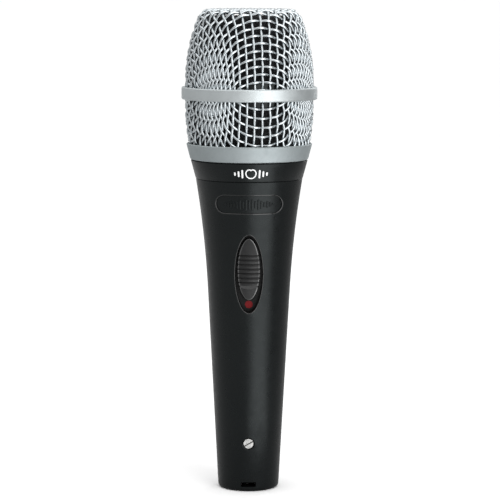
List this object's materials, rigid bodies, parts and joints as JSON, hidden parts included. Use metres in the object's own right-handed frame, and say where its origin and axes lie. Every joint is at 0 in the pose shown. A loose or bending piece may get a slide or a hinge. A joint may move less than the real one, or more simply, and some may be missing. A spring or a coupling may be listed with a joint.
{
  "type": "dynamic microphone",
  "caption": "Handheld dynamic vocal microphone: tapered black handle with a slide switch, woven wire grille with a centre band, three-pin connector.",
  "frame": {"origin": "middle of the flat rim at the connector end, on the microphone's axis", "axes": "+Z along the microphone towards the grille, -Y the front with the switch, +X to the right seen from the front"},
  "size_m": [0.0528, 0.0528, 0.188],
  "materials": {
    "body_paint": "satin black powder paint",
    "satin_nickel": "satin nickel plate",
    "mesh_wire": "bright plated wire",
    "black_foam": "open-cell foam",
    "black_plastic": "fine moulded texture",
    "red_mark": "gloss",
    "bright_nickel": "polished nickel plate",
    "contact_metal": "plated",
    "circuit_board": "satin",
    "insulating_board": "matte",
    "magnet_iron": "ground",
    "capsule_shell": "satin",
    "clear_film": "gloss",
    "coil_copper": "enamelled",
    "mount_rubber": "matte",
    "grey_felt": "felt",
    "lead_insulation": "satin"
  },
  "bodies": {
    "handle": {"handle": "body_paint", "handle_top_ring": "body_paint", "switch_bezel": "black_plastic", "on_dot": "red_mark", "switch_can": "bright_nickel", "switch_base": "insulating_board", "switch_terminals": "contact_metal", "switch_board": "circuit_board", "board_screws": "bright_nickel", "xlr_insert": "black_plastic", "xlr_lock_screw": "bright_nickel", "xlr_pin_1": "contact_metal", "xlr_pin_2": "contact_metal", "xlr_pin_3": "contact_metal", "ground_clip": "bright_nickel", "shock_mount": "mount_rubber", "shock_mount_clamp": "black_plastic", "lead_capsule_hot": "lead_insulation", "lead_capsule_cold": "lead_insulation", "lead_switch_out": "lead_insulation", "lead_ground": "lead_insulation"},
    "switch_button": {"switch_button": "black_plastic", "switch_slider": "black_plastic", "switch_contact": "contact_metal"},
    "capsule": {"capsule_case": "capsule_shell", "damping_felt": "grey_felt", "magnet_yoke": "magnet_iron", "top_plate": "magnet_iron", "magnet": "magnet_iron", "pole_piece": "magnet_iron", "diaphragm_ring": "capsule_shell", "front_cap": "black_plastic", "front_cloth": "grey_felt", "capsule_board": "insulating_board", "capsule_terminals": "contact_metal"},
    "diaphragm": {"diaphragm": "clear_film", "voice_coil": "coil_copper"},
    "foam_sleeve": {"foam_sleeve": "black_foam"},
    "grille": {"grille_collar": "satin_nickel", "lower_mesh": "mesh_wire", "centre_band": "satin_nickel", "band_inner_hoop": "body_paint", "upper_mesh": "mesh_wire", "foam_dome": "black_foam"}
  },
  "joints": [
    {"name": "switch_slide", "type": "slide", "parent": "handle", "child": "switch_button", "axis": [0, -0.075, 0.9972], "range_m": [-0.0036, 0]},
    {"name": "capsule_float", "type": "slide", "parent": "handle", "child": "capsule", "axis": [0, 0, 1], "range_m": [-0.0008, 0.0008], "stiffness_N_per_m": 2500, "springref_m": 0.00025, "deforming": ["shock_mount", "lead_capsule_hot", "lead_capsule_cold"]},
    {"name": "diaphragm_move", "type": "slide", "parent": "capsule", "child": "diaphragm", "axis": [0, 0, 1], "range_m": [-0.0003, 0.0003], "stiffness_N_per_m": 60, "springref_m": 0.0001, "deforming": ["diaphragm"]},
    {"name": "grille_lift", "type": "slide", "parent": "handle", "child": "foam_sleeve", "axis": [0, 0, 1], "range_m": [0, 0.005]},
    {"name": "grille_turn", "type": "hinge", "parent": "foam_sleeve", "child": "grille", "pos_m": [0, 0, 0.13], "axis": [0, 0, 1], "range_deg": [0, 1800]}
  ],
  "couplings": [
    {"joint": "grille_turn", "follows": "grille_lift", "rad_per_m": 6283}
  ]
}
